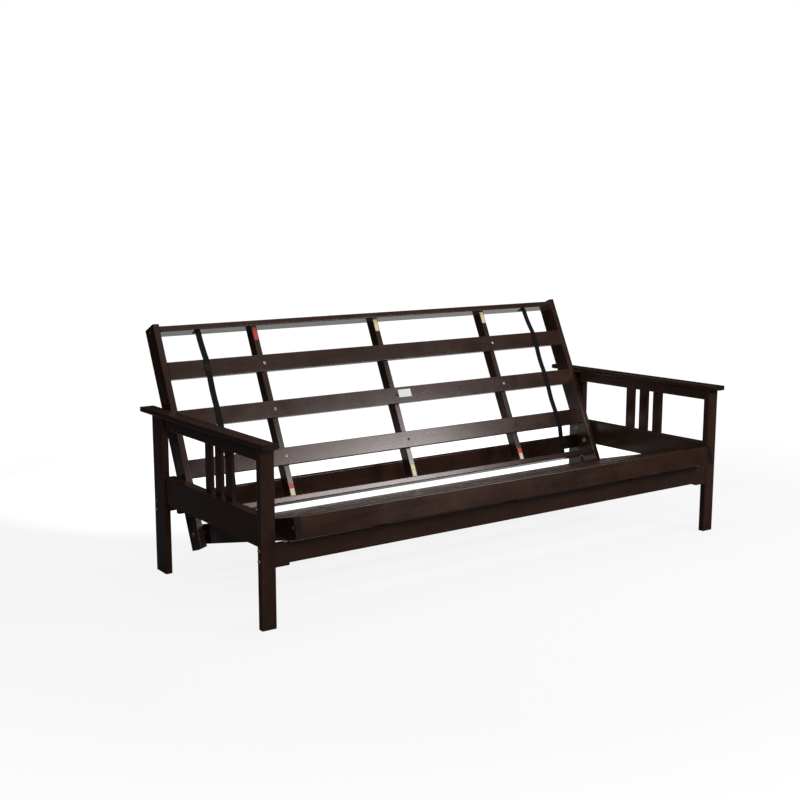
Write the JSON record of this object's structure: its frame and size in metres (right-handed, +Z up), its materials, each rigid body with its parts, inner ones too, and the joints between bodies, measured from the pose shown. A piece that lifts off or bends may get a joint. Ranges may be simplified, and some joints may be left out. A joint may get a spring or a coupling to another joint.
{
  "type": "futon sofa bed frame",
  "caption": "Wooden futon frame with slatted seat and back decks that fold flat into a bed, set between mission-style slatted arms.",
  "frame": {"origin": "bottom centre of the whole frame's bounding box, on the floor, as a sofa", "axes": "+X along the frame's length towards the right-hand arm seen from the front, -Y towards the front edge of the seat, +Z up"},
  "size_m": [2.1, 0.9986, 0.8883],
  "materials": {
    "espresso_wood": "dark espresso stain under satin lacquer",
    "beech_dowel": "bare beech",
    "zinc_steel": "bright zinc plated",
    "black_steel": "black painted plate",
    "nylon": "natural nylon",
    "white_plastic": "white moulded plastic",
    "black_webbing": "woven polypropylene webbing"
  },
  "bodies": {
    "arm_frame": {"left_armrest": "espresso_wood", "right_armrest": "espresso_wood", "left_upper_rail": "espresso_wood", "right_upper_rail": "espresso_wood", "left_lower_rail": "espresso_wood", "right_lower_rail": "espresso_wood", "left_front_leg": "espresso_wood", "right_front_leg": "espresso_wood", "left_rear_leg": "espresso_wood", "right_rear_leg": "espresso_wood", "left_spindle_front": "espresso_wood", "left_spindle_middle": "espresso_wood", "left_spindle_rear": "espresso_wood", "right_spindle_front": "espresso_wood", "right_spindle_middle": "espresso_wood", "right_spindle_rear": "espresso_wood", "front_stretcher": "espresso_wood", "rear_stretcher": "espresso_wood", "stretcher_cap": "white_plastic", "leg_bolts": "zinc_steel", "barrel_nuts": "zinc_steel", "armrest_screws": "zinc_steel", "arm_dowels": "beech_dowel"},
    "seat_rollers": {"seat_rollers": "nylon"},
    "seat_deck": {"left_seat_rail": "espresso_wood", "right_seat_rail": "espresso_wood", "seat_front_rail": "espresso_wood", "seat_rear_rail": "espresso_wood", "seat_slat_rear": "espresso_wood", "seat_slat_middle": "espresso_wood", "seat_slat_front": "espresso_wood", "seat_support_left": "espresso_wood", "seat_support_middle": "espresso_wood", "seat_support_right": "espresso_wood", "seat_slat_screws": "zinc_steel", "seat_rail_screws": "zinc_steel", "seat_deck_dowels": "beech_dowel"},
    "back_deck": {"left_back_stile": "espresso_wood", "right_back_stile": "espresso_wood", "back_top_rail": "espresso_wood", "back_bottom_rail": "espresso_wood", "back_slat_lower": "espresso_wood", "back_slat_middle": "espresso_wood", "back_slat_upper": "espresso_wood", "back_support_left": "espresso_wood", "back_support_middle": "espresso_wood", "back_support_right": "espresso_wood", "back_slat_screws": "zinc_steel", "back_rail_screws": "zinc_steel", "back_deck_dowels": "beech_dowel", "left_strap": "black_webbing", "right_strap": "black_webbing", "strap_clips": "black_steel", "guide_pegs": "nylon", "guide_bolts": "zinc_steel", "lower_stile_bolts": "zinc_steel", "pivot_bolts": "zinc_steel", "pivot_washers": "nylon", "pivot_nuts": "zinc_steel"}
  },
  "joints": [
    {"name": "seat_tilt", "type": "hinge", "parent": "arm_frame", "child": "seat_rollers", "pos_m": [0, -0.4226, 0.2645], "axis": [1, 0, 0], "range_deg": [0, 14.5]},
    {"name": "seat_slide", "type": "slide", "parent": "seat_rollers", "child": "seat_deck", "axis": [0, -0.9681, 0.2504], "range_m": [0, 0.15265]},
    {"name": "back_fold", "type": "hinge", "parent": "seat_deck", "child": "back_deck", "pos_m": [0, 0.1434, 0.16595], "axis": [1, 0, 0], "range_deg": [-80, 0]}
  ],
  "couplings": [
    {"joint": "seat_tilt", "follows": "back_fold", "ratio": -0.18125},
    {"joint": "seat_slide", "follows": "back_fold", "m_per_rad": -0.10933}
  ]
}
